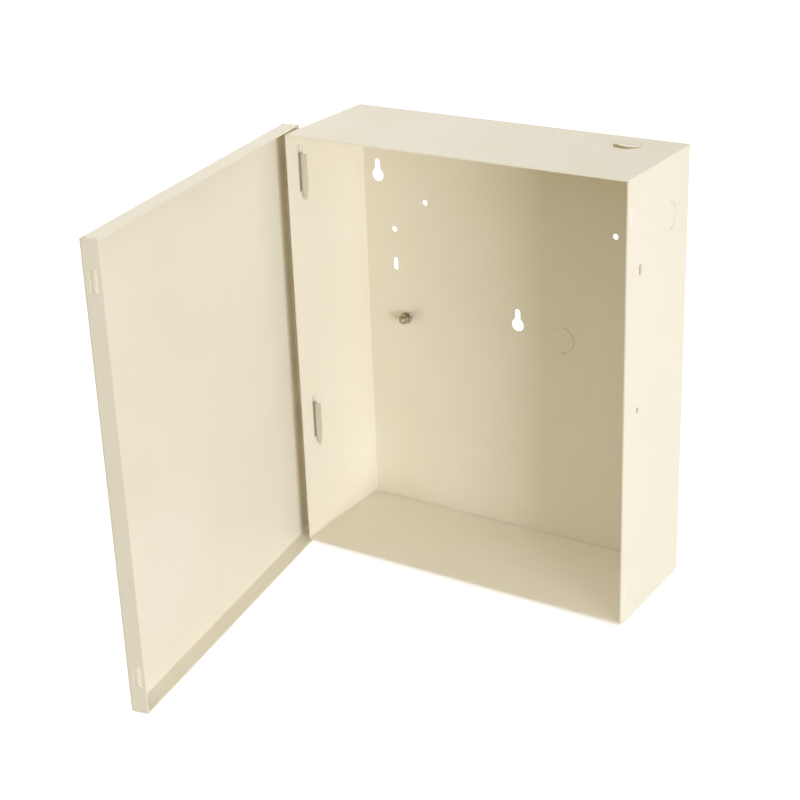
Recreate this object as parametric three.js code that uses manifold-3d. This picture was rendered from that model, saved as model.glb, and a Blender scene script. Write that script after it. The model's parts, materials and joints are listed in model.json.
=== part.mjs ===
// Surface-mounted sheet-steel equipment cabinet with a lift-off hinged door.
// Millimetres. +Z is up, +Y points into the wall, the door is at the front, towards -Y.
// The origin is the centre of the rear face, in the plane of the wall.

import * as THREE from "three";
import { mergeVertices, toCreasedNormals } from "three/addons/utils/BufferGeometryUtils.js";
import Module from "manifold-3d";

const wasm = await Module();
wasm.setup();

// ---------------------------------------------------------------- driving dimensions

// Outside of the box: 12 in wide, 14 1/2 in high, folded from 1.2 mm (18 gauge) sheet.
const cabinet = { width: 304.8, height: 368.3, depth: 110, sheet: 1.2, bendRadius: 2.2 };

// Clearance between pieces that are welded, clamped or still tied to each other.
const seatGap = 0.3;

// Door tray. The gaps are between its inner faces and the outside of the box.
const door = {
  sheet: 1.2,
  bendRadius: 2.2,
  reach: 15.2, // outer depth of the tray, front face to flange edge
  hingeReach: 16.6, // the same at the hinge side, whose edge stops the door against the left wall
  hingeGap: 1.8,
  latchGap: 1.4,
  endGap: 1.4, // above the top wall and below the bottom wall
  faceGap: 0.9, // in front of the box's front edges
  cornerSeam: 0.4, // slit between neighbouring flanges
  cornerRelief: 1.1, // radius of the round relief at the foot of the slit
  openAngle: 80, // how far the door stands open, in degrees
};

// Vertical hinge axis, behind the box's front edge, in the middle of the hooks' inner legs.
const hingeSetback = 16.8;

// Z-bent hooks, spot-welded inside the hinge-side flange, that hang in slots of the left wall.
const hook = {
  sheet: 1.0,
  height: 38.9,
  drop: 7, // how far the pointed leg hangs below the slot's lower edge
  pointHeight: 11, // tapered part of the leg
  pointWidth: 1.4, // what is left of the leg at its very tip
  wallGap: 0.6, // between the inner leg and the inside of the wall
  weldStart: 1.8, // setback of the weld leg's front edge
  crossStart: 1.5, // the Z bend starts this far in front of the hinge axis
  crossEnd: 0.6, // and ends this far behind it
  legEnd: 5.6, // rear edge of the inner leg, behind the hinge axis
  topOffset: 20.1, // top of the upper hook below the top of the box
  tipOffset: 87, // tip of the lower hook above the bottom of the box
};
const hingeSlot = { ahead: 2.2, behind: 4.1, headroom: 0.4 };

// Half-sheared conduit knockouts for 1/2 in trade size fittings.
const knockout = { radius: 11.1, gap: 0.35, tieWidth: 3, tieReach: 1.1, step: 0.6 };
const topKnockout = { fromSide: 42.5, wallSetback: 23, tilt: 8.5, turn: -38 }; // angles in degrees
const sideKnockout = { fromTop: 47.3, wallSetback: 35 };
const backKnockout = { fromCentre: 42.8, aboveCentre: 3.2 };

// Keyholes for hanging on screws, measured to the centre of the round head.
const keyhole = { headRadius: 5.8, slotHalf: 2.8, rise: 11.4 };
const cornerKeyhole = { fromSide: 16, fromTop: 60.1 };
const centreKeyhole = { aboveCentre: 9.2 };

// Small holes for board supports and brackets.
const boardHole = { radius: 2.6 };
const boardHoles = [
  { fromLeft: 63.1, fromTop: 79.3 },
  { fromLeft: 31.1, fromTop: 107.1 },
];
const boardHoleRight = { fromRight: 62, fromTop: 83.4 };
const boardSlot = { fromLeft: 31.3, fromTop: 138.7, radius: 2.4, travel: 7 };
const bracketSetback = 23; // holes in the side walls behind the box's front edge
const bracketSlot = { fromTop: 74.8, radius: 2.1, travel: 5 };
const bracketHole = { belowCentre: 5, radius: 2.4, markDepth: 0.5 };

// Low embossed ribs on the right wall that line up with two windows in the door's free flange.
const rib = { width: 3.2, length: 14, height: 0.5, setback: 6.7, fromEnd: 28 };
const ribWindow = { width: 6.5, length: 18 };

// Earth terminal on the back panel: M5 weld stud, toothed washer, blade terminal and nut.
const earth = { fromLeft: 41, aboveCentre: -3.2 };
const stud = { radius: 2.5, length: 10, collarRadius: 3.4, collarThickness: 0.7, chamfer: 0.6 };
const toothWasher = { outer: 5.4, root: 4.3, thickness: 0.6, teeth: 10 };
const blade = { ringRadius: 5, thickness: 0.8, width: 6.3, length: 9, bend: 45, turn: -35 };
const nut = { acrossFlats: 8, height: 4, chamfer: 0.7 };

// ---------------------------------------------------------------- derived places

const sideX = cabinet.width / 2;
const endZ = cabinet.height / 2;
const frontY = -cabinet.depth;
const innerBackY = -cabinet.sheet;
const hookLegX = -sideX + cabinet.sheet + hook.wallGap + hook.sheet / 2;
const hingeAxis = new THREE.Vector3(hookLegX, frontY + hingeSetback, 0);

// Tips of the two hooks and the slots that they hang in.
const hookTips = {
  upper: endZ - hook.topOffset - hook.height,
  lower: -endZ + hook.tipOffset,
};
const slotBottom = (tip) => tip + hook.drop;
const slotTop = (tip) => slotBottom(tip) + hook.height + hingeSlot.headroom;

// ---------------------------------------------------------------- finishes

const ivoryPaint = new THREE.MeshStandardMaterial({ color: 0xe8dfcb, roughness: 0.45, metalness: 0 });
const zincPlate = new THREE.MeshStandardMaterial({ color: 0xb9b6ad, roughness: 0.35, metalness: 1 });
const darkZinc = new THREE.MeshStandardMaterial({ color: 0x8d8778, roughness: 0.45, metalness: 1 });
const tinnedBrass = new THREE.MeshStandardMaterial({ color: 0xa99f86, roughness: 0.4, metalness: 1 });

// ---------------------------------------------------------------- geometry helpers

// Every arc of an outline is drawn with twice this many straight pieces.
const roundSteps = 18;
const bendSteps = 3;

// A closed three.js geometry as a solid that can be joined and cut.
function solid(geometry) {
  const bare = new THREE.BufferGeometry();
  bare.setAttribute("position", geometry.getAttribute("position"));
  if (geometry.index) bare.setIndex(geometry.index);
  const merged = mergeVertices(bare, 1e-4);
  const mesh = new wasm.Mesh({
    numProp: 3,
    vertProperties: new Float32Array(merged.attributes.position.array),
    triVerts: new Uint32Array(merged.index.array),
  });
  return new wasm.Manifold(mesh);
}

// A solid as a named mesh with flat faces and smooth bends.
function namedMesh(name, material, body) {
  const data = body.getMesh();
  const geometry = new THREE.BufferGeometry();
  geometry.setAttribute("position", new THREE.BufferAttribute(data.vertProperties, 3));
  geometry.setIndex(new THREE.BufferAttribute(data.triVerts, 1));
  const mesh = new THREE.Mesh(toCreasedNormals(geometry, Math.PI / 5), material);
  mesh.name = name;
  return mesh;
}

const join = (bodies) => bodies.reduce((whole, next) => whole.add(next));
const cut = (body, cutters) => cutters.reduce((rest, cutter) => rest.subtract(cutter), body);

// An outline extruded along +Z from z = 0.
function extruded(shape, depth, curveSegments) {
  return new THREE.ExtrudeGeometry(shape, { depth, curveSegments, bevelEnabled: false });
}

// A box between two corners.
function boxSolid(low, high) {
  const size = high.map((value, axis) => value - low[axis]);
  const geometry = new THREE.BoxGeometry(...size);
  geometry.translate(...low.map((value, axis) => value + size[axis] / 2));
  return solid(geometry);
}

// The plane of each wall: its outline axes, and a point in the middle of the sheet.
const X = new THREE.Vector3(1, 0, 0);
const Y = new THREE.Vector3(0, 1, 0);
const Z = new THREE.Vector3(0, 0, 1);
const halfSheet = cabinet.sheet / 2;
const wallPlane = {
  back: { across: X, up: Z, middle: Y.clone().multiplyScalar(-halfSheet) },
  left: { across: Y, up: Z, middle: X.clone().multiplyScalar(-sideX + halfSheet) },
  right: { across: Y, up: Z, middle: X.clone().multiplyScalar(sideX - halfSheet) },
  top: { across: X, up: Y, middle: Z.clone().multiplyScalar(endZ - halfSheet) },
};

// Moves an outline's extrusion, centred on z = 0, into a wall's plane at (u, v).
function ontoWall(geometry, plane, u, v) {
  const normal = new THREE.Vector3().crossVectors(plane.across, plane.up);
  const place = new THREE.Matrix4().makeBasis(plane.across, plane.up, normal);
  const point = plane.middle.clone().addScaledVector(plane.across, u).addScaledVector(plane.up, v);
  return geometry.applyMatrix4(place.setPosition(point));
}

// A cutter with the given outline at (u, v), between two heights above the middle of the sheet.
function bored(shape, plane, u, v, low, high, turn = 0) {
  const geometry = extruded(shape, high - low, roundSteps);
  return solid(ontoWall(geometry.translate(0, 0, low).rotateZ(turn), plane, u, v));
}

// A cutter that goes right through a wall.
function through(shape, plane, u, v, turn) {
  return bored(shape, plane, u, v, -2 * cabinet.sheet, 2 * cabinet.sheet, turn);
}

// ---------------------------------------------------------------- outlines

function circle(radius) {
  const shape = new THREE.Shape();
  shape.absarc(0, 0, radius, 0, 2 * Math.PI, false);
  return shape;
}

function rectangle(width, height) {
  const shape = new THREE.Shape();
  shape.moveTo(-width / 2, -height / 2);
  shape.lineTo(width / 2, -height / 2);
  shape.lineTo(width / 2, height / 2);
  shape.lineTo(-width / 2, height / 2);
  return shape;
}

// A slot with round ends, upright; travel is the distance between the two centres.
function obround(radius, travel) {
  const shape = new THREE.Shape();
  shape.absarc(0, travel / 2, radius, 0, Math.PI, false);
  shape.absarc(0, -travel / 2, radius, Math.PI, 2 * Math.PI, false);
  return shape;
}

// A round head with a narrower slot above it.
function keyholeShape() {
  const shoulder = Math.acos(keyhole.slotHalf / keyhole.headRadius);
  const shape = new THREE.Shape();
  shape.absarc(0, keyhole.rise, keyhole.slotHalf, 0, Math.PI, false);
  shape.absarc(0, 0, keyhole.headRadius, Math.PI - shoulder, 2 * Math.PI + shoulder, false);
  return shape;
}

// A rectangle whose corners on the +y side are rounded.
function roundedEndRectangle(left, right, low, high, radius) {
  const shape = new THREE.Shape();
  shape.moveTo(left, low);
  shape.lineTo(right, low);
  shape.absarc(right - radius, high - radius, radius, 0, Math.PI / 2, false);
  shape.absarc(left + radius, high - radius, radius, Math.PI / 2, Math.PI, false);
  return shape;
}

// A strip of sheet seen on edge: the centre line's points, offset by half the thickness each way.
function stripShape(points, thickness) {
  const half = thickness / 2;
  const directions = points.slice(1).map((p, i) => p.clone().sub(points[i]).normalize());
  const edge = (side) =>
    points.map((point, i) => {
      const before = directions[Math.max(i - 1, 0)];
      const after = directions[Math.min(i, directions.length - 1)];
      const mitre = before.clone().add(after).normalize();
      const normal = new THREE.Vector2(-mitre.y, mitre.x);
      const stretch = half / Math.max(mitre.dot(before), 0.2);
      return point.clone().addScaledVector(normal, side * stretch);
    });
  return new THREE.Shape([...edge(-1), ...edge(1).reverse()]);
}

// ---------------------------------------------------------------- knockouts

// The hole that is left when a knockout is removed, with notches for its two ties.
function knockoutHole(plane, u, v, turn) {
  const notchWidth = knockout.tieWidth + 2 * knockout.gap;
  const notchHeight = 2 * (knockout.radius + knockout.tieReach);
  return join([
    through(circle(knockout.radius), plane, u, v, turn),
    through(rectangle(notchWidth, notchHeight), plane, u, v, turn),
  ]);
}

// The slug around the origin, with a tie above and below, in the middle of the sheet.
function knockoutSlug() {
  const tieHeight = 2 * (knockout.radius + knockout.tieReach - knockout.gap);
  const outlines = [circle(knockout.radius - knockout.gap), rectangle(knockout.tieWidth, tieHeight)];
  const blanks = outlines.map((outline) => extruded(outline, cabinet.sheet, roundSteps));
  return join(blanks.map((blank) => solid(blank.translate(0, 0, -halfSheet))));
}

// A slug pushed into the box by the step of the half shear.
function pushedSlug(name, plane, u, v, inward) {
  const mesh = namedMesh(name, ivoryPaint, knockoutSlug());
  ontoWall(mesh.geometry, plane, u, v);
  mesh.position.copy(inward).multiplyScalar(knockout.step);
  return mesh;
}

// ---------------------------------------------------------------- box

const backPlace = {
  cornerKeyholeX: sideX - cornerKeyhole.fromSide,
  cornerKeyholeZ: endZ - cornerKeyhole.fromTop,
  knockoutX: backKnockout.fromCentre,
  knockoutZ: backKnockout.aboveCentre,
};
const sideKnockoutY = -sideKnockout.wallSetback;
const sideKnockoutZ = endZ - sideKnockout.fromTop;
const topKnockoutX = sideX - topKnockout.fromSide;
const topKnockoutY = -topKnockout.wallSetback;
const topKnockoutTurn = THREE.MathUtils.degToRad(topKnockout.turn);
const ribZ = endZ - rib.fromEnd;
const ribY = frontY + rib.setback;

// Left wall, back and right wall, folded in one piece.
function wrapperSheet() {
  const outer = cabinet.bendRadius;
  const inner = outer - cabinet.sheet;
  const shape = new THREE.Shape();
  shape.moveTo(sideX, frontY);
  shape.lineTo(sideX, -outer);
  shape.absarc(sideX - outer, -outer, outer, 0, Math.PI / 2, false);
  shape.absarc(-sideX + outer, -outer, outer, Math.PI / 2, Math.PI, false);
  shape.lineTo(-sideX, frontY);
  shape.lineTo(-sideX + cabinet.sheet, frontY);
  shape.absarc(-sideX + outer, -outer, inner, Math.PI, Math.PI / 2, true);
  shape.absarc(sideX - outer, -outer, inner, Math.PI / 2, 0, true);
  shape.lineTo(sideX - cabinet.sheet, frontY);
  const height = cabinet.height - 2 * (cabinet.sheet + seatGap);
  return solid(extruded(shape, height, bendSteps).translate(0, 0, -height / 2));
}

function backCutters() {
  const { back } = wallPlane;
  const keyholes = [
    [-backPlace.cornerKeyholeX, backPlace.cornerKeyholeZ],
    [backPlace.cornerKeyholeX, backPlace.cornerKeyholeZ],
    [0, centreKeyhole.aboveCentre],
  ];
  return [
    ...keyholes.map(([x, z]) => through(keyholeShape(), back, x, z)),
    ...boardHoles.map((hole) =>
      through(circle(boardHole.radius), back, -sideX + hole.fromLeft, endZ - hole.fromTop),
    ),
    through(
      circle(boardHole.radius),
      back,
      sideX - boardHoleRight.fromRight,
      endZ - boardHoleRight.fromTop,
    ),
    through(
      obround(boardSlot.radius, boardSlot.travel),
      back,
      -sideX + boardSlot.fromLeft,
      endZ - boardSlot.fromTop,
    ),
    knockoutHole(back, backPlace.knockoutX, backPlace.knockoutZ),
  ];
}

// The left wall's bracket hole is only marked by a shallow punch from inside.
function sideCutters() {
  const { left, right } = wallPlane;
  const bracketY = frontY + bracketSetback;
  const slotFront = hingeAxis.y - hingeSlot.ahead;
  const slotRear = hingeAxis.y + hingeSlot.behind;
  const hingeSlots = Object.values(hookTips).map((tip) => {
    const outline = rectangle(slotRear - slotFront, slotTop(tip) - slotBottom(tip));
    return through(outline, left, (slotFront + slotRear) / 2, (slotTop(tip) + slotBottom(tip)) / 2);
  });
  const bracketMark = bored(
    circle(bracketHole.radius),
    left,
    bracketY,
    -bracketHole.belowCentre,
    halfSheet - bracketHole.markDepth,
    cabinet.sheet,
  );
  return [
    ...hingeSlots,
    bracketMark,
    through(circle(bracketHole.radius), right, bracketY, -bracketHole.belowCentre),
    through(
      obround(bracketSlot.radius, bracketSlot.travel),
      right,
      bracketY,
      endZ - bracketSlot.fromTop,
    ),
    knockoutHole(right, sideKnockoutY, sideKnockoutZ),
  ];
}

// One embossed rib, with sloped sides, standing on the right wall's outer face.
function ribSolid(z) {
  const root = rib.width / 2;
  const crest = root - rib.height;
  const profile = new THREE.Shape();
  profile.moveTo(-root, -halfSheet);
  profile.lineTo(root, -halfSheet);
  profile.lineTo(root, 0);
  profile.lineTo(crest, rib.height);
  profile.lineTo(-crest, rib.height);
  profile.lineTo(-root, 0);
  const bar = extruded(profile, rib.length, 1).translate(0, 0, -rib.length / 2);
  const stand = new THREE.Matrix4().makeBasis(Y.clone().negate(), X, Z);
  bar.applyMatrix4(stand.setPosition(sideX, ribY, z));
  return solid(bar);
}

function wrapper() {
  const sheet = cut(wrapperSheet(), [...backCutters(), ...sideCutters()]);
  const body = join([sheet, ribSolid(ribZ), ribSolid(-ribZ)]);
  return namedMesh("cabinet_wrapper", ivoryPaint, body);
}

// Top or bottom wall, welded along three edges to the wrapper.
function endWall(name, lowZ, cutters) {
  const shape = roundedEndRectangle(-sideX, sideX, frontY, 0, cabinet.bendRadius);
  const plate = extruded(shape, cabinet.sheet, bendSteps).translate(0, 0, lowZ);
  return namedMesh(name, ivoryPaint, cut(solid(plate), cutters));
}

// The top slug is hinged on its rear tie, with the opposite edge sprung up.
function topSlug() {
  const mesh = namedMesh("knockout_slug_top", ivoryPaint, knockoutSlug());
  const rear = knockout.radius + knockout.tieReach - knockout.gap;
  mesh.geometry.translate(0, -rear, 0);
  mesh.position.set(0, rear, 0);
  mesh.rotation.x = -THREE.MathUtils.degToRad(topKnockout.tilt);
  const turned = new THREE.Group();
  turned.position.set(topKnockoutX, topKnockoutY, wallPlane.top.middle.z);
  turned.rotation.z = topKnockoutTurn;
  turned.add(mesh);
  return turned;
}

// ---------------------------------------------------------------- door, built closed

const leaf = {
  left: -sideX - door.hingeGap - door.sheet,
  right: sideX + door.latchGap + door.sheet,
  front: frontY - door.faceGap - door.sheet,
  top: endZ + door.endGap + door.sheet,
};
leaf.rear = leaf.front + door.reach;
leaf.hingeRear = leaf.front + door.hingeReach;

// A block with rounded front edges, shrunk by inset on every side but the rear.
function trayBlock(inset, rear) {
  const radius = door.bendRadius - inset;
  const left = leaf.left + inset;
  const right = leaf.right - inset;
  const front = leaf.front + inset;
  const half = leaf.top - inset;
  const plan = roundedEndRectangle(left, right, -rear, -front, radius);
  const planBar = extruded(plan, 2 * half, bendSteps).translate(0, 0, -half);
  planBar.rotateX(Math.PI);
  const side = roundedEndRectangle(-half, half, -rear, -front, radius);
  const sideBar = extruded(side, right - left, bendSteps).translate(0, 0, left);
  sideBar.applyMatrix4(new THREE.Matrix4().makeBasis(Z, Y.clone().negate(), X));
  return solid(planBar).intersect(solid(sideBar));
}

// Slit and round relief that part the top or bottom flange from a side flange.
function cornerSeams() {
  const foot = leaf.front + door.bendRadius + door.cornerRelief;
  const cutters = [];
  for (const [x, sign] of [[leaf.left, 1], [leaf.right, -1]]) {
    const near = x + sign * door.sheet;
    const far = near + sign * door.cornerSeam;
    for (const end of [-1, 1]) {
      const z = end * (leaf.top - door.sheet);
      const low = Math.min(z - end * door.sheet / 2, z + end * 2 * door.sheet);
      const high = Math.max(z - end * door.sheet / 2, z + end * 2 * door.sheet);
      cutters.push(
        boxSolid([Math.min(near, far), foot, low], [Math.max(near, far), leaf.hingeRear + 1, high]),
      );
      const round = extruded(circle(door.cornerRelief), high - low, roundSteps);
      const middle = near + sign * door.cornerRelief;
      cutters.push(solid(round.translate(middle, foot, low)));
    }
  }
  return cutters;
}

// Windows in the free flange, in front of the ribs.
function ribWindows() {
  const x = leaf.right - door.sheet / 2;
  return [-ribZ, ribZ].map((z) => {
    const size = [2 * door.sheet, ribWindow.width, ribWindow.length];
    const centre = [x, ribY, z];
    return boxSolid(
      centre.map((value, axis) => value - size[axis] / 2),
      centre.map((value, axis) => value + size[axis] / 2),
    );
  });
}

// Everything but the hinge-side flange is trimmed back to the shorter reach.
function flangeTrim() {
  const low = [leaf.left + door.sheet + door.cornerSeam, leaf.rear, -leaf.top - 1];
  return boxSolid(low, [leaf.right + 1, leaf.hingeRear + 1, leaf.top + 1]);
}

function doorTray() {
  const shell = trayBlock(0, leaf.hingeRear).subtract(trayBlock(door.sheet, 2 * leaf.hingeRear - leaf.front));
  return namedMesh("door_tray", ivoryPaint, cut(shell, [flangeTrim(), ...cornerSeams(), ...ribWindows()]));
}

// A hook: the Z-bent strip seen from above, trimmed to its outline seen from the side.
function hingeHook(name, tip) {
  const weldX = -sideX - door.hingeGap + seatGap + hook.sheet / 2;
  const weldY = frontY + hook.weldStart;
  const crossY = hingeAxis.y - hook.crossStart;
  const legY = hingeAxis.y + hook.crossEnd;
  const endY = hingeAxis.y + hook.legEnd;
  const line = [
    new THREE.Vector2(weldX, weldY),
    new THREE.Vector2(weldX, crossY),
    new THREE.Vector2(hookLegX, legY),
    new THREE.Vector2(hookLegX, endY),
  ];
  const strip = solid(extruded(stripShape(line, hook.sheet), hook.height, 1).translate(0, 0, tip));

  const seat = slotBottom(tip) + seatGap;
  const top = tip + hook.height;
  const side = new THREE.Shape();
  side.moveTo(weldY, seat);
  side.lineTo(legY, seat);
  side.lineTo(legY, tip + hook.pointHeight / 2);
  side.lineTo((legY + endY - hook.pointWidth) / 2, tip);
  side.lineTo((legY + endY + hook.pointWidth) / 2, tip);
  side.lineTo(endY, tip + hook.pointHeight);
  side.lineTo(endY, top);
  side.lineTo(weldY, top);
  const reach = hookLegX - weldX + 2 * hook.sheet;
  const trim = extruded(side, reach, 1).translate(0, 0, weldX - hook.sheet);
  trim.applyMatrix4(new THREE.Matrix4().makeBasis(Y, Z, X));
  return namedMesh(name, zincPlate, strip.intersect(solid(trim)));
}

// ---------------------------------------------------------------- earth terminal

// Each piece is built along +Z from the panel outwards, then turned to point at the front.
const stack = { stud: seatGap };
stack.washer = stack.stud + stud.collarThickness + seatGap;
stack.blade = stack.washer + toothWasher.thickness + seatGap;
stack.nut = stack.blade + blade.thickness + seatGap;
const boreRadius = stud.radius + seatGap;

function earthMesh(name, material, body, height) {
  const mesh = namedMesh(name, material, body);
  mesh.position.set(0, 0, height);
  return mesh;
}

function weldStud() {
  const points = [
    [0, 0],
    [stud.collarRadius, 0],
    [stud.collarRadius, stud.collarThickness],
    [stud.radius, stud.collarThickness],
    [stud.radius, stud.length - stud.chamfer],
    [stud.radius - stud.chamfer, stud.length],
    [0, stud.length],
  ].map(([radius, height]) => new THREE.Vector2(radius, height));
  return solid(new THREE.LatheGeometry(points, 2 * roundSteps).rotateX(Math.PI / 2));
}

function washerWithTeeth() {
  const shape = new THREE.Shape();
  const stepAngle = (2 * Math.PI) / (4 * toothWasher.teeth);
  for (let i = 0; i < 4 * toothWasher.teeth; i++) {
    const radius = i % 4 < 2 ? toothWasher.outer : toothWasher.root;
    const point = [radius * Math.cos(i * stepAngle), radius * Math.sin(i * stepAngle)];
    if (i === 0) shape.moveTo(...point);
    else shape.lineTo(...point);
  }
  const blank = solid(extruded(shape, toothWasher.thickness, 1));
  const bore = extruded(circle(boreRadius), 3 * toothWasher.thickness, roundSteps);
  return blank.subtract(solid(bore.translate(0, 0, -toothWasher.thickness)));
}

// A ring with a push-on blade bent up from its edge.
function bladeTerminal() {
  const ring = solid(extruded(circle(blade.ringRadius), blade.thickness, roundSteps));
  const bore = extruded(circle(boreRadius), 3 * blade.thickness, roundSteps);
  const half = blade.width / 2;
  const foot = boxSolid([0, -half, 0], [blade.ringRadius + blade.thickness, half, blade.thickness]);
  const tongue = extruded(rectangle(blade.length, blade.width), blade.thickness, 1);
  tongue.translate(blade.length / 2, 0, -blade.thickness / 2);
  tongue.rotateY(-THREE.MathUtils.degToRad(blade.bend));
  tongue.translate(blade.ringRadius + blade.thickness / 2, 0, blade.thickness / 2);
  const body = join([ring, foot, solid(tongue)]);
  return body.subtract(solid(bore.translate(0, 0, -blade.thickness)));
}

// A hexagon prism whose corners are turned down at both ends.
function hexNut() {
  const corner = nut.acrossFlats / 2 / Math.cos(Math.PI / 6);
  const hexagon = new THREE.CylinderGeometry(corner, corner, nut.height, 6).rotateX(Math.PI / 2);
  const points = [
    [0, -nut.height / 2],
    [corner - nut.chamfer, -nut.height / 2],
    [corner + 0.1, -nut.height / 2 + nut.chamfer / 2],
    [corner + 0.1, nut.height / 2 - nut.chamfer / 2],
    [corner - nut.chamfer, nut.height / 2],
    [0, nut.height / 2],
  ].map(([radius, height]) => new THREE.Vector2(radius, height));
  const turned = new THREE.LatheGeometry(points, 2 * roundSteps).rotateX(Math.PI / 2);
  const bore = extruded(circle(boreRadius), 3 * nut.height, roundSteps);
  const blank = solid(hexagon).intersect(solid(turned));
  return blank
    .subtract(solid(bore.translate(0, 0, -1.5 * nut.height)))
    .translate([0, 0, nut.height / 2]);
}

// ---------------------------------------------------------------- assembly

const group = new THREE.Group();

// Box.
group.add(wrapper());
const topHole = knockoutHole(wallPlane.top, topKnockoutX, topKnockoutY, topKnockoutTurn);
group.add(endWall("top_wall", endZ - cabinet.sheet, [topHole]));
group.add(endWall("bottom_wall", -endZ, []));
group.add(topSlug());
group.add(
  pushedSlug(
    "knockout_slug_side",
    wallPlane.right,
    sideKnockoutY,
    sideKnockoutZ,
    X.clone().negate(),
  ),
);
group.add(
  pushedSlug(
    "knockout_slug_back",
    wallPlane.back,
    backPlace.knockoutX,
    backPlace.knockoutZ,
    Y.clone().negate(),
  ),
);

// Earth terminal, pointing at the front.
const terminal = new THREE.Group();
terminal.position.set(-sideX + earth.fromLeft, innerBackY, earth.aboveCentre);
terminal.rotation.x = Math.PI / 2;
terminal.add(earthMesh("earth_stud", zincPlate, weldStud(), stack.stud));
terminal.add(earthMesh("earth_tooth_washer", darkZinc, washerWithTeeth(), stack.washer));
const bladeMesh = earthMesh("earth_blade_terminal", tinnedBrass, bladeTerminal(), stack.blade);
bladeMesh.rotation.z = -THREE.MathUtils.degToRad(blade.turn);
terminal.add(bladeMesh);
terminal.add(earthMesh("earth_hex_nut", darkZinc, hexNut(), stack.nut));
group.add(terminal);

// Door leaf: the closed pieces turn together about the hinge axis.
const swing = new THREE.Group();
swing.position.copy(hingeAxis);
swing.rotation.z = -THREE.MathUtils.degToRad(door.openAngle);
const closedLeaf = new THREE.Group();
closedLeaf.position.copy(hingeAxis).negate();
closedLeaf.add(doorTray());
closedLeaf.add(hingeHook("hinge_hook_upper", hookTips.upper));
closedLeaf.add(hingeHook("hinge_hook_lower", hookTips.lower));
swing.add(closedLeaf);
group.add(swing);

export default group;
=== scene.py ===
# %% [markdown]
# # A painted sheet-steel equipment cabinet with its door open
#
# The real object is a shallow steel box that hangs on a wall by three keyholes. Its sides and back are
# one folded sheet, its top and bottom are welded in, and a tray-shaped door hangs on two Z-bent hooks.
# Everything is powder-coated ivory, except the small earth terminal on the back panel.
#
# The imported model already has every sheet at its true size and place. What it lacks is what paint and
# press tools leave behind: rounded edges, filled seams, weld marks, threads and a surface with texture.
# Each cell below adds one of those.

import json
import math

import bmesh
import bpy
import numpy as np
from mathutils import Matrix, Vector


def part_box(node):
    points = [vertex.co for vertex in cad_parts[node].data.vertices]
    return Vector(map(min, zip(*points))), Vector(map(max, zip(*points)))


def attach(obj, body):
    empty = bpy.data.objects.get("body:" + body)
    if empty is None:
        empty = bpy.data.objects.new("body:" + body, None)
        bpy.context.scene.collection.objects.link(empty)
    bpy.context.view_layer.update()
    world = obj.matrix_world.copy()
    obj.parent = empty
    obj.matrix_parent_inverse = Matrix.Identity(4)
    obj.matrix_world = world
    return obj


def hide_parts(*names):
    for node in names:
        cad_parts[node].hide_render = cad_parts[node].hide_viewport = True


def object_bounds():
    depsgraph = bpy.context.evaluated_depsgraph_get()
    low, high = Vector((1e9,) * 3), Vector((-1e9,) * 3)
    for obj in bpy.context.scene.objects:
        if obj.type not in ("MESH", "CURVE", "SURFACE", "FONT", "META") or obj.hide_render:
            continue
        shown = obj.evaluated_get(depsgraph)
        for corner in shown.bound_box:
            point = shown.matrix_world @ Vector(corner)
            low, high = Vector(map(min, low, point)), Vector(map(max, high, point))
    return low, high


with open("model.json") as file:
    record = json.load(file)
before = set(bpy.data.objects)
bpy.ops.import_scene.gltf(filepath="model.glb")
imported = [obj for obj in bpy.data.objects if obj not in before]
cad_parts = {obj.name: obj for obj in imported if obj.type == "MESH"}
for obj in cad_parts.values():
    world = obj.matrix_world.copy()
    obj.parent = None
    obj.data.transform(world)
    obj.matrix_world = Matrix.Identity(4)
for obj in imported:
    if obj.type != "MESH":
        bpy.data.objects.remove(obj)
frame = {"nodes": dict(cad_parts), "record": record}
cad_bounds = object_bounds()
MM = 0.001

# %% [markdown]
# ## Camera
#
# A camera is easiest to reason about as angles around a target: azimuth turns it round the object,
# elevation lifts it, and roll tilts the horizon. A lens of about 79 mm, used from 1.6 m away, keeps the
# upright edges nearly parallel, and they still draw together a little towards the bottom.

# %% Place the camera by its angles
CAMERA_TARGET = Vector((-144.6, 33.3, -102.9)) * MM
CAMERA_AZIMUTH, CAMERA_ELEVATION, CAMERA_ROLL = (math.radians(a) for a in (33.19, 23.39, -2.13))
CAMERA_DISTANCE = 1.6297
FOCAL_LENGTH_MM = 78.7

away = Vector((
    math.sin(CAMERA_AZIMUTH) * math.cos(CAMERA_ELEVATION),
    -math.cos(CAMERA_AZIMUTH) * math.cos(CAMERA_ELEVATION),
    math.sin(CAMERA_ELEVATION),
))
lens = bpy.data.cameras.new("camera")
lens.sensor_width = 36.0
lens.lens = FOCAL_LENGTH_MM
camera = bpy.data.objects.new("camera", lens)
rolled = away.to_track_quat("Z", "Y").to_matrix() @ Matrix.Rotation(CAMERA_ROLL, 3, "Z")
camera.matrix_world = Matrix.Translation(CAMERA_TARGET + away * CAMERA_DISTANCE) @ rolled.to_4x4()
bpy.context.collection.objects.link(camera)
bpy.context.scene.camera = camera
print("camera at", [round(value, 3) for value in camera.location])

# %% [markdown]
# ## Colours and nodes
#
# Paint is specified in sRGB, but shaders add up light, which is linear, so one function turns
# a hex value into linear numbers. One more function adds any shader node with its settings and links,
# which keeps each material readable as a list of what it is made of.

# %% Helpers for materials
def linear(hex_code):
    """Each sRGB channel c becomes c / 12.92 when dark, and ((c + 0.055) / 1.055) ** 2.4 otherwise."""
    channels = np.array([int(hex_code[i:i + 2], 16) for i in (1, 3, 5)]) / 255
    low = channels / 12.92
    high = ((channels + 0.055) / 1.055) ** 2.4
    return (*np.where(channels <= 0.04045, low, high), 1.0)


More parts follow.
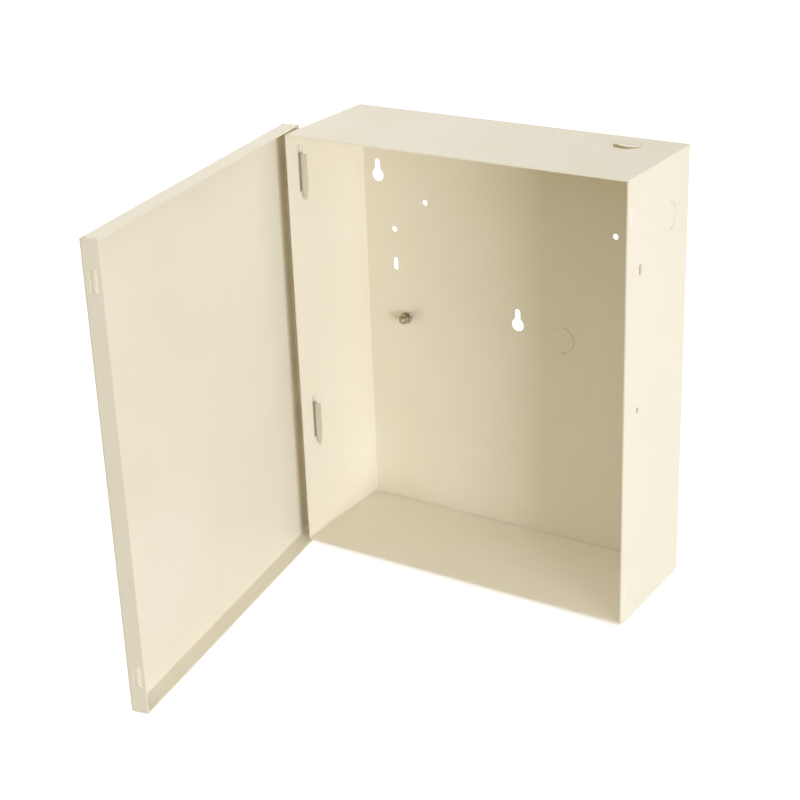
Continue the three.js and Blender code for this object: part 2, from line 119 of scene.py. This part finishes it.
def add_node(tree, kind, settings=None, links=None):
    """Adds a node, sets its properties and sockets by name, and links sockets from other outputs."""
    node = tree.nodes.new(kind)
    for name, value in (settings or {}).items():
        if name in node.inputs:
            node.inputs[name].default_value = value
        else:
            setattr(node, name, value)
    for name, output in (links or {}).items():
        tree.links.new(output, node.inputs[name])
    return node


def new_material(name):
    """An empty node tree with a Principled shader; returns the material, its tree and the shader."""
    material = bpy.data.materials.new(name)
    material.use_nodes = True
    tree = material.node_tree
    return material, tree, tree.nodes["Principled BSDF"]


print("half way in sRGB is", round(linear("#808080")[0], 3), "in linear light")

# %% [markdown]
# ## Ivory powder coat
#
# Polyester powder is sprayed on dry and melts in an oven. It flows into a satin skin about 0.08 mm
# thick that never levels quite flat: the gentle waviness is called orange peel. The colour is even,
# with a faint drift where the coat is thicker, and the gloss drifts with it. The hooks sit in the slots
# behind the door's flange and are given a darker, greyer copy of the coat: that is painted shade.
#
# Real orange peel repeats every 1 to 2 mm, which is too fine to make out from more than a metre away.
# The wave here is 3 mm long, the shortest that still shows as a softness in the highlights.

# %% Powder coat
ORANGE_PEEL_MM = 3.0
COAT_DRIFT_MM = 90.0
GRAIN_MM = 0.7


def powder_coat(name, thin, thick):
    material, tree, shader = new_material(name)
    place = add_node(tree, "ShaderNodeTexCoord").outputs["Object"]
    drift = add_node(
        tree, "ShaderNodeTexNoise",
        {"Scale": 1000 / COAT_DRIFT_MM, "Detail": 3.0, "Roughness": 0.55}, {"Vector": place})
    colour = add_node(tree, "ShaderNodeValToRGB", links={"Fac": drift.outputs["Fac"]})
    colour.color_ramp.elements[0].position = 0.32
    colour.color_ramp.elements[0].color = linear(thin)
    colour.color_ramp.elements[1].position = 0.68
    colour.color_ramp.elements[1].color = linear(thick)
    gloss = add_node(
        tree, "ShaderNodeMapRange",
        {"From Min": 0.3, "From Max": 0.7, "To Min": 0.38, "To Max": 0.47},
        {"Value": drift.outputs["Fac"]})
    peel = add_node(
        tree, "ShaderNodeTexNoise",
        {"Scale": 1000 / ORANGE_PEEL_MM, "Detail": 1.0, "Roughness": 0.4}, {"Vector": place})
    waviness = add_node(
        tree, "ShaderNodeBump",
        {"Strength": 0.35, "Distance": 0.06 * MM}, {"Height": peel.outputs["Fac"]})
    grain = add_node(
        tree, "ShaderNodeTexNoise",
        {"Scale": 1000 / GRAIN_MM, "Detail": 0.0}, {"Vector": place})
    surface = add_node(
        tree, "ShaderNodeBump",
        {"Strength": 0.2, "Distance": 0.01 * MM},
        {"Height": grain.outputs["Fac"], "Normal": waviness.outputs["Normal"]})
    tree.links.new(colour.outputs["Color"], shader.inputs["Base Color"])
    tree.links.new(gloss.outputs["Result"], shader.inputs["Roughness"])
    tree.links.new(surface.outputs["Normal"], shader.inputs["Normal"])
    shader.inputs["IOR"].default_value = 1.5
    return material


ivory = powder_coat("ivory_powder_coat", "#ebe3d0", "#eee7d6")
# A darker, greyer copy of the coat for the hooks: painted shade for their place behind the door's flange.
painted_shade_ivory = powder_coat("painted_shade_ivory_powder_coat", "#cbc3af", "#d6cebb")
print("materials so far:", [material.name for material in bpy.data.materials])

# %% [markdown]
# ## Zinc plate and tinned brass
#
# The stud, washer and nut are steel with a thin electroplated zinc coat, passivated to a slightly
# yellow grey. Zinc crystals make its brightness patchy over a few tenths of a millimetre. The blade
# terminal is brass under a dull tin plate, rolled in one direction, so its gloss runs in streaks.

# %% Plated metals
ZINC_PATCH_MM = 0.8
ROLLING_STREAK_MM = 0.25


def plated_metal(name, dark, light, roughness, stretch):
    """Patches of two tones; stretch is how much longer a patch is along Z than across it."""
    material, tree, shader = new_material(name)
    place = add_node(tree, "ShaderNodeTexCoord").outputs["Object"]
    turned = add_node(
        tree, "ShaderNodeMapping", {"Scale": (1.0, 1.0, 1.0 / stretch)}, {"Vector": place})
    patch_mm = ZINC_PATCH_MM if stretch == 1 else ROLLING_STREAK_MM
    patches = add_node(
        tree, "ShaderNodeTexNoise",
        {"Scale": 1000 / patch_mm, "Detail": 4.0, "Roughness": 0.6},
        {"Vector": turned.outputs["Vector"]})
    colour = add_node(tree, "ShaderNodeValToRGB", links={"Fac": patches.outputs["Fac"]})
    colour.color_ramp.elements[0].position = 0.35
    colour.color_ramp.elements[0].color = linear(dark)
    colour.color_ramp.elements[1].position = 0.65
    colour.color_ramp.elements[1].color = linear(light)
    gloss = add_node(
        tree, "ShaderNodeMapRange",
        {"From Min": 0.3, "From Max": 0.7, "To Min": roughness - 0.08, "To Max": roughness + 0.08},
        {"Value": patches.outputs["Fac"]})
    relief = add_node(
        tree, "ShaderNodeBump",
        {"Strength": 0.3, "Distance": 0.02 * MM}, {"Height": patches.outputs["Fac"]})
    tree.links.new(colour.outputs["Color"], shader.inputs["Base Color"])
    tree.links.new(gloss.outputs["Result"], shader.inputs["Roughness"])
    tree.links.new(relief.outputs["Normal"], shader.inputs["Normal"])
    shader.inputs["Metallic"].default_value = 1.0
    return material


zinc_plate = plated_metal("zinc_plated_steel", "#9f9a84", "#bcb7a2", 0.52, 1)
dull_zinc = plated_metal("dull_zinc_plated_steel", "#b3ab8a", "#d0c8aa", 0.56, 1)
tinned_brass = plated_metal("tinned_brass", "#a0977c", "#c4bca3", 0.48, 6)
print("materials so far:", [material.name for material in bpy.data.materials])

# %% [markdown]
# ## Painted sheets
#
# A sheared edge of sheet steel is sharp, but powder pulls back from it and leaves a radius of a few
# tenths of a millimetre. That radius is what catches a thin line of light along every edge, so it
# matters more to the eye than its size suggests.
#
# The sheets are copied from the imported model, the copy's loose triangles are merged into whole faces,
# and a Bevel modifier rounds every edge that turns by more than 30 degrees. The bends keep their own
# curve, because the steps along a bend turn by less.

# %% Copy a sheet and round its edges
def merged_copy(node, name):
    """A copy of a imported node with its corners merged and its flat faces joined."""
    mesh = bmesh.new()
    mesh.from_mesh(frame["nodes"][node].data)
    bmesh.ops.remove_doubles(mesh, verts=mesh.verts, dist=0.001 * MM)
    bmesh.ops.dissolve_limit(
        mesh, angle_limit=math.radians(0.5), use_dissolve_boundaries=False,
        verts=mesh.verts, edges=mesh.edges)
    data = bpy.data.meshes.new(name)
    mesh.to_mesh(data)
    mesh.free()
    return data


def place_piece(data, body, material, nodes=()):
    """Puts a finished mesh in the scene as a piece that rides on a body."""
    piece = bpy.data.objects.new(data.name, data)
    bpy.context.collection.objects.link(piece)
    data.materials.clear()
    data.materials.append(material)
    data.shade_smooth()
    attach(piece, body)
    if nodes:
        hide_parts(*nodes)
    return piece


def round_edges(piece, radius):
    """A Bevel on every edge that turns by more than 30 degrees, then normals that keep flat faces flat."""
    bevel = piece.modifiers.new("rounded_edges", "BEVEL")
    bevel.width = radius
    bevel.segments = 3
    bevel.limit_method = "ANGLE"
    bevel.angle_limit = math.radians(30)
    flat = piece.modifiers.new("flat_faces_stay_flat", "WEIGHTED_NORMAL")
    flat.mode = "FACE_AREA"
    flat.weight = 100


PAINTED_EDGE = 0.28 * MM
SHEETS = {
    "cabinet_wrapper": "cabinet",
    "top_wall": "cabinet",
    "bottom_wall": "cabinet",
    "knockout_slug_top": "cabinet",
    "knockout_slug_side": "cabinet",
    "knockout_slug_back": "cabinet",
    "door_tray": "door",
    "hinge_hook_upper": "door",
    "hinge_hook_lower": "door",
}
for node, body in SHEETS.items():
    data = merged_copy(node, "painted_" + node)
    # The hooks take the darker copy of the coat, which is painted shade.
    coat = painted_shade_ivory if node.startswith("hinge_hook") else ivory
    piece = place_piece(data, body, coat, [node])
    round_edges(piece, PAINTED_EDGE)
    print(piece.name, len(data.polygons), "faces before the bevel")

# %% [markdown]
# ## Surfaces from grids
#
# The rest of the pieces are worked out as whole arrays. A grid of points, rows by columns, becomes a
# skin of four-sided faces. The columns close on themselves, so the skin is a tube and its two ends are
# filled in. When the rows close too it is a ring. Points that fall together at a pole are merged.

# %% Turn a grid of points into a mesh
def grid_mesh(name, points, close_rows=False):
    """Faces join point (i, j) to (i+1, j), (i+1, j+1) and (i, j+1); columns wrap, rows where asked."""
    rows, columns = points.shape[:2]
    row = np.arange(rows if close_rows else rows - 1)
    i, j = (a.ravel() for a in np.meshgrid(row, np.arange(columns), indexing="ij"))
    down, right = (i + 1) % rows, (j + 1) % columns
    corners = [i * columns + j, down * columns + j, down * columns + right, i * columns + right]
    data = bpy.data.meshes.new(name)
    data.from_pydata(points.reshape(-1, 3), [], np.stack(corners, axis=1).tolist())
    mesh = bmesh.new()
    mesh.from_mesh(data)
    bmesh.ops.remove_doubles(mesh, verts=mesh.verts, dist=0.002 * MM)
    open_rims = [edge for edge in mesh.edges if edge.is_boundary]
    if open_rims:
        bmesh.ops.holes_fill(mesh, edges=open_rims)
    bmesh.ops.recalc_face_normals(mesh, faces=mesh.faces)
    mesh.to_mesh(data)
    mesh.free()
    return data


trial_angle = np.linspace(0, 2 * np.pi, 8, endpoint=False)
trial_ring = np.stack([np.cos(trial_angle), np.sin(trial_angle), 0 * trial_angle], axis=1)
trial = grid_mesh("trial_tube", np.stack([trial_ring + (0, 0, level) for level in range(3)]))
print("a tube of 3 rings of 8 points has", len(trial.polygons), "faces, with its ends")
bpy.data.meshes.remove(trial)

# %% [markdown]
# ## Filled seams
#
# The end walls sit on the folded wrapper and are welded from inside, then the powder bridges the
# hairline joint. Outside it shows as a faint soft line, and inside it leaves a small hollow fillet
# along three edges. A profile carried along the seam draws both at once.
#
# The path runs up the left wall, round the two rear bends and back along the right wall. At each step
# the profile stands across the path, measured inwards from the sheet's outer face.

# %% Carry a profile round the box
low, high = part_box("top_wall")
wrapper_low, wrapper_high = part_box("cabinet_wrapper")
SHEET = high.z - low.z
BEND_RADIUS = 2.2 * MM
HALF_WIDTH = high.x
FRONT = low.y
SEAM_GAP = low.z - wrapper_high.z
FILLET = 0.8 * MM
BEAD_WIDTH = 0.35 * MM
BEAD_PROUD = 0.03 * MM
BITE = 0.05 * MM


def plan_path(inset):
    """Left wall, quarter circle, back, quarter circle, right wall, all pushed inwards by inset."""
    quarter = np.linspace(0, np.pi / 2, 9)
    radius = BEND_RADIUS - inset
    right_bend = np.stack([np.cos(quarter), np.sin(quarter)], axis=1) * radius
    right_bend += (HALF_WIDTH - BEND_RADIUS, -BEND_RADIUS)
    left_bend = right_bend[::-1] * (-1, 1)
    ends = np.array([[HALF_WIDTH - inset, FRONT + PAINTED_EDGE]])
    return np.concatenate([ends, right_bend, left_bend, ends * (-1, 1)])


def seam_mesh(name, seam_z, upward):
    """The closed profile goes over the outer bead, through the gap and round the hollow fillet."""
    sweep = np.linspace(0, np.pi / 2, 7)
    hollow_inset = SHEET + FILLET * (1 - np.sin(sweep))
    hollow_height = FILLET * (1 - np.cos(sweep))
    bead = np.array([[BEAD_WIDTH, 0.9], [0.0, 0.7], [-BEAD_PROUD, 0.0], [0.0, -0.7], [BEAD_WIDTH, -0.9]])
    inset = np.concatenate([bead[:, 0], hollow_inset[::-1], [SHEET + FILLET]])
    height = np.concatenate([
        bead[:, 1] * SEAM_GAP / 2,
        SEAM_GAP / 2 - FILLET + hollow_height[::-1],
        [SEAM_GAP / 2 + BITE],
    ])
    rows = []
    for step, lift in zip(inset, height):
        plan = plan_path(min(step, BEND_RADIUS - BITE))
        rows.append(np.column_stack([plan, np.full(len(plan), seam_z + upward * lift)]))
    return grid_mesh(name, np.stack(rows, axis=1))


seam_centre = (low.z + wrapper_high.z) / 2
for name, side in (("seam_fill_top", 1), ("seam_fill_bottom", -1)):
    data = seam_mesh(name, side * seam_centre, side)
    place_piece(data, "cabinet", ivory)
    print(name, len(data.vertices), "points")

# %% [markdown]
# ## Knockouts
#
# A knockout is sheared nearly all the way round and left hanging on two ties. The thin groove that the
# punch leaves is closed at its bottom by the last of the metal and by paint, so no light comes through.
#
# In polar form a tie of half width w and reach h, standing across a disc of radius r, gives the outline
# max(r, min(w / |cos a|, h / |sin a|)). The web fills the space between two such outlines: that of the
# slug, and that of the hole round it, which is wider by the shear gap everywhere. Its height is measured
# from the sheet's outer face.

# %% Fill the shear grooves
SHEAR_GAP = 0.35 * MM
HOLE_RADIUS = 11.1 * MM
TIE_HALF_WIDTH = 1.5 * MM
TIE_REACH = 11.85 * MM
WEB_TOP, WEB_BOTTOM = -0.7 * MM, -1.1 * MM
WEB_BITE = 0.04 * MM


def tied_outline(angle, radius, half_width, reach):
    """The larger of the disc and the tie's rectangle, as a distance from the centre at each angle."""
    across = half_width / np.maximum(np.abs(np.cos(angle)), 1e-6)
    along = reach / np.maximum(np.abs(np.sin(angle)), 1e-6)
    return np.maximum(radius, np.minimum(across, along))


def shear_web(name, centre, right, up, outward):
    """Columns go round the slug, rows go round the web's own small four-sided cross-section."""
    angle = np.linspace(0, 2 * np.pi, 720, endpoint=False)
    inner = tied_outline(angle, HOLE_RADIUS - SHEAR_GAP, TIE_HALF_WIDTH, TIE_REACH) - WEB_BITE
    outer = tied_outline(
        angle, HOLE_RADIUS, TIE_HALF_WIDTH + SHEAR_GAP, TIE_REACH + SHEAR_GAP) + WEB_BITE
    radius = np.stack([inner, outer, outer, inner])
    depth = np.array([WEB_TOP, WEB_TOP, WEB_BOTTOM, WEB_BOTTOM])[:, None]
    points = (
        centre
        + (radius * np.cos(angle))[..., None] * right
        + (radius * np.sin(angle))[..., None] * up
        + (depth * np.ones_like(angle))[..., None] * outward
    )
    return grid_mesh(name, points, close_rows=True)


X_AXIS, Y_AXIS, Z_AXIS = np.eye(3)
for name, node, right, outward, face in (
    ("shear_web_side", "knockout_slug_side", Y_AXIS, X_AXIS, HALF_WIDTH),
    ("shear_web_back", "knockout_slug_back", X_AXIS, Y_AXIS, wrapper_high.y),
):
    slug_low, slug_high = (np.array(corner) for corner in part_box(node))
    centre = (slug_low + slug_high) / 2
    centre[np.argmax(outward)] = face
    place_piece(shear_web(name, centre, right, Z_AXIS, outward), "cabinet", ivory)
    print(name, "round", [round(float(value) / MM, 1) for value in centre])

# %% [markdown]
# ## Earth terminal
#
# A stud is welded to the back panel, and a toothed washer, a push-on blade and a nut are clamped on it.
# The stud, the washer and the nut are each a surface of revolution with something done to its radius,
# and the blade is copied from the imported model. A thread is a ridge whose phase is height over pitch
# minus angle over a full turn, which makes one continuous helix. A nut is the smaller of a hexagon and a
# cone, which leaves the curved flats of a turned chamfer. The washer's rim steps out and in at each
# tooth, and each tooth is twisted so that one corner bites up and the other down.
#
# The pieces are worked out along their own axis, then pointed at the front.

# %% Thread, nut and toothed washer
PITCH = 0.8 * MM
THREAD_DEPTH = 0.42 * MM
TEETH = 10
BLADE_EDGE = 0.12 * MM


def terminal_points(radius, angle, height):
    """Height runs from the panel towards the front, which is -Y."""
    stud_low, stud_high = (np.array(corner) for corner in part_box("earth_stud"))
    middle = (stud_low + stud_high) / 2
    return np.stack([
        middle[0] + radius * np.cos(angle),
        wrapper_high.y - SHEET - height,
        middle[2] + radius * np.sin(angle),
    ], axis=-1)


def span(node):
    """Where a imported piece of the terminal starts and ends, as heights above the panel."""
    low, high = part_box(node)
    panel = wrapper_high.y - SHEET
    return panel - high.y, panel - low.y


def stud_mesh():
    start, end = span("earth_stud")
    low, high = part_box("earth_stud")
    collar = (high.x - low.x) / 2
    shank = 2.5 * MM
    foot = start + 0.7 * MM
    threads = np.arange(foot + 0.3 * MM, end - 0.6 * MM, PITCH / 12)
    height = np.concatenate([
        [start, start, start + 0.1 * MM, foot - 0.15 * MM, foot, foot, foot + 0.2 * MM],
        threads, [end - 0.55 * MM, end - 0.1 * MM, end, end]])
    base = np.concatenate([
        [0.01 * MM, collar - 0.1 * MM, collar, collar, collar - 0.15 * MM, shank + 0.2 * MM, shank],
        np.full(len(threads), shank), [shank - 0.1 * MM, shank - 0.55 * MM, shank - 0.7 * MM, 0.01 * MM]])
    threaded = np.concatenate([np.zeros(7), np.ones(len(threads)), np.zeros(4)])
    run_out = np.clip((end - 0.6 * MM - height) / PITCH, 0, 1)
    angle = np.linspace(0, 2 * np.pi, 48, endpoint=False)
    phase = (height[:, None] / PITCH - angle / (2 * np.pi)) % 1
    ridge = np.abs(2 * phase - 1)
    radius = base[:, None] - (threaded * run_out)[:, None] * THREAD_DEPTH * ridge
    return grid_mesh("threaded_stud", terminal_points(radius, angle, height[:, None] + 0 * radius))


def nut_mesh():
    start, end = span("earth_hex_nut")
    flat = 4.0 * MM
    bore = 2.72 * MM
    angle = np.linspace(0, 2 * np.pi, 144, endpoint=False)
    hexagon = flat / np.cos((angle + np.pi / 6) % (np.pi / 3) - np.pi / 6)
    rise = np.array([0, 0, 0.12, 0.3, 0.55, 0.9]) * MM
    cone = flat * 1.155 + np.array([-0.62, -0.55, -0.4, -0.2, 0.0, 0.1]) * MM
    countersink = 0.3 * MM
    height = np.concatenate([
        [start + countersink, start], start + rise,
        end - rise[::-1], [end, end - countersink]])
    limit = np.concatenate([cone, cone[::-1]])
    outer = np.minimum(hexagon, limit[:, None])
    inner = np.array([bore, bore + countersink])[:, None] + 0 * angle
    radius = np.concatenate([inner, outer, inner[::-1]])
    heights = height[:, None] + 0 * angle
    return grid_mesh("chamfered_nut", terminal_points(radius, angle, heights), close_rows=True)


def washer_mesh():
    start, end = span("earth_tooth_washer")
    angle = np.linspace(0, 2 * np.pi, 32 * TEETH, endpoint=False)
    phase = (angle * TEETH / (2 * np.pi)) % 1
    tooth = np.clip((0.25 - np.abs(phase - 0.3)) * 12, 0, 1)
    rim = (4.3 + 1.1 * tooth) * MM
    twist = tooth * (phase - 0.3) * 1.3 * MM
    ring = 2.8 * MM + 0 * angle
    shoulder = 4.2 * MM + 0 * angle
    radius = np.stack([ring, shoulder, rim, rim, shoulder, ring])
    low = start + 0.02 * MM + 0 * angle
    high = end - 0.02 * MM + 0 * angle
    height = np.stack([low, low, low + twist, high + twist, high, high])
    return grid_mesh("toothed_washer", terminal_points(radius, angle, height), close_rows=True)


for data, node, slot, material in (
    (stud_mesh(), "earth_stud", "zinc_plate", zinc_plate),
    (nut_mesh(), "earth_hex_nut", "dark_zinc", dull_zinc),
    (washer_mesh(), "earth_tooth_washer", "dark_zinc", dull_zinc),
):
    place_piece(data, "cabinet", material, [node])
    print(data.name, len(data.polygons), "faces")

blade = place_piece(
    merged_copy("earth_blade_terminal", "push_on_blade"),
    "cabinet", tinned_brass, ["earth_blade_terminal"])
round_edges(blade, BLADE_EDGE)

# %% [markdown]
# ## Spot-weld marks
#
# The hooks are held inside the door's flange by two spot welds each. The electrode leaves a shallow
# round print on the outside: a flat middle with a low rim, and the paint softens both. The radius runs
# across the rows and the height follows a smooth bump at the rim.

# %% Press the weld marks
MARK_RADIUS = 3.0 * MM
MARK_RIM = 0.2 * MM
FLANGE_CLEAR_OF_WALL = 3.0 * MM
FLANGE_MIDDLE = 7.0 * MM
hinge = frame["record"]["behaviour"]["joints"][0]
hinge_point = np.array(hinge["pos_m"])
open_angle = math.radians(-hinge["range_deg"][0])
turn_open = np.array([
    [math.cos(open_angle), math.sin(open_angle), 0],
    [-math.sin(open_angle), math.cos(open_angle), 0],
    [0, 0, 1],
])
flange_face = -HALF_WIDTH - FLANGE_CLEAR_OF_WALL


def weld_mark(name, along, height):
    """A low button, worked out on the closed flange and then turned open with the door."""
    share = np.array([0.0, 0.5, 0.72, 0.84, 0.92, 1.0, 1.0, 0.0])
    lift = np.array([0.25, 0.25, 0.35, 1.0, 0.6, 0.0, -3.0, -3.0]) * MARK_RIM
    angle = np.linspace(0, 2 * np.pi, 40, endpoint=False)
    radius = np.maximum(share, 0.002)[:, None] * MARK_RADIUS
    points = np.stack([
        flange_face - lift[:, None] + 0 * angle,
        along + radius * np.cos(angle),
        height + radius * np.sin(angle),
    ], axis=-1)
    return grid_mesh(name, (points - hinge_point) @ turn_open.T + hinge_point)


weld_row = FRONT + FLANGE_MIDDLE
for hook in ("upper", "lower"):
    hook_low, hook_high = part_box("hinge_hook_" + hook)
    for place, share in (("top", 0.8), ("bottom", 0.4)):
        height = hook_low.z + share * (hook_high.z - hook_low.z)
        data = weld_mark(f"weld_mark_{hook}_{place}", weld_row, height)
        place_piece(data, "door", ivory)
        print(data.name, "at height", round(height / MM, 1))

# %% [markdown]
# ## Stage and light
#
# The cabinet stands on a pale glowing table, so the floor shines a little by itself and shadows on it
# stay faint. The table's glow isn't let onto the object, which a studio does with black cards. The table
# doesn't stop light either, so the soft box beside it can reach the lower half of the object.
#
# The key soft box stands far off on the right, level with the object. It lights the right wall, the
# door's inside and the left wall. A small one close above the left corner lifts the top wall and the
# door's upper flange. The room is bright overhead and dimmer towards the floor, as a white ceiling over
# a brown floor would be, so faces that look forward are quieter than faces that look up. Inside the box
# the light has bounced from ivory to ivory, so it turns darker and warmer with no help.

# %% Floor, soft boxes and room
FLOOR_DROP = 0.5 * MM
FLOOR_HALF = 8.0
floor_height = cad_bounds[0][2] - FLOOR_DROP
side = np.array([-FLOOR_HALF, FLOOR_HALF])
across, along = np.meshgrid(side, side)
floor_points = np.stack([across, along, np.full((2, 2), floor_height)], axis=2)
floor_data = bpy.data.meshes.new("floor")
floor_data.from_pydata(floor_points.reshape(-1, 3), [], [[0, 1, 3, 2]])
floor_material, floor_tree, floor_shader = new_material("pale_glowing_table")
floor_shader.inputs["Base Color"].default_value = linear("#f6f5f2")
floor_shader.inputs["Roughness"].default_value = 0.9
floor_shader.inputs["Emission Color"].default_value = linear("#ffffff")
floor_shader.inputs["Emission Strength"].default_value = 0.55
floor_data.materials.append(floor_material)
floor = bpy.data.objects.new("floor", floor_data)
floor.visible_diffuse = False
floor.visible_shadow = False
bpy.context.collection.objects.link(floor)


def soft_box(name, azimuth, elevation, distance, size, power, tint):
    """A square area light at angles round the object's middle, aimed at it."""
    azimuth, elevation = math.radians(azimuth), math.radians(elevation)
    direction = Vector((
        math.sin(azimuth) * math.cos(elevation),
        -math.cos(azimuth) * math.cos(elevation),
        math.sin(elevation),
    ))
    light = bpy.data.lights.new(name, "AREA")
    light.shape = "SQUARE"
    light.size = size
    light.energy = power
    light.color = linear(tint)[:3]
    lamp = bpy.data.objects.new(name, light)
    turn = direction.to_track_quat("Z", "Y").to_matrix().to_4x4()
    lamp.matrix_world = Matrix.Translation(direction * distance) @ turn
    bpy.context.collection.objects.link(lamp)
    return lamp


soft_box("key_soft_box", azimuth=61, elevation=1, distance=3.4, size=1.4, power=86, tint="#eff5ff")
soft_box("top_soft_box", azimuth=-60, elevation=60, distance=0.9, size=0.4, power=1.3, tint="#f6f9ff")

room = bpy.data.worlds.new("white_room")
room.use_nodes = True
room_tree = room.node_tree
direction = add_node(room_tree, "ShaderNodeTexCoord").outputs["Generated"]
height = add_node(room_tree, "ShaderNodeSeparateXYZ", links={"Vector": direction}).outputs["Z"]
share_of_height = add_node(
    room_tree, "ShaderNodeMapRange", {"From Min": -1.0, "From Max": 1.0}, {"Value": height})
shade = add_node(room_tree, "ShaderNodeValToRGB", links={"Fac": share_of_height.outputs["Result"]})
shade.color_ramp.elements[0].color = linear("#7b6e47")
shade.color_ramp.elements[1].color = linear("#f9fbff")
middle = shade.color_ramp.elements.new(0.5)
middle.color = linear("#9d926e")
background = room_tree.nodes["Background"]
room_tree.links.new(shade.outputs["Color"], background.inputs["Color"])
background.inputs["Strength"].default_value = 1.06
bpy.context.scene.world = room
bpy.context.scene.view_settings.view_transform = "Standard"
print("floor at", round(floor_height, 4))
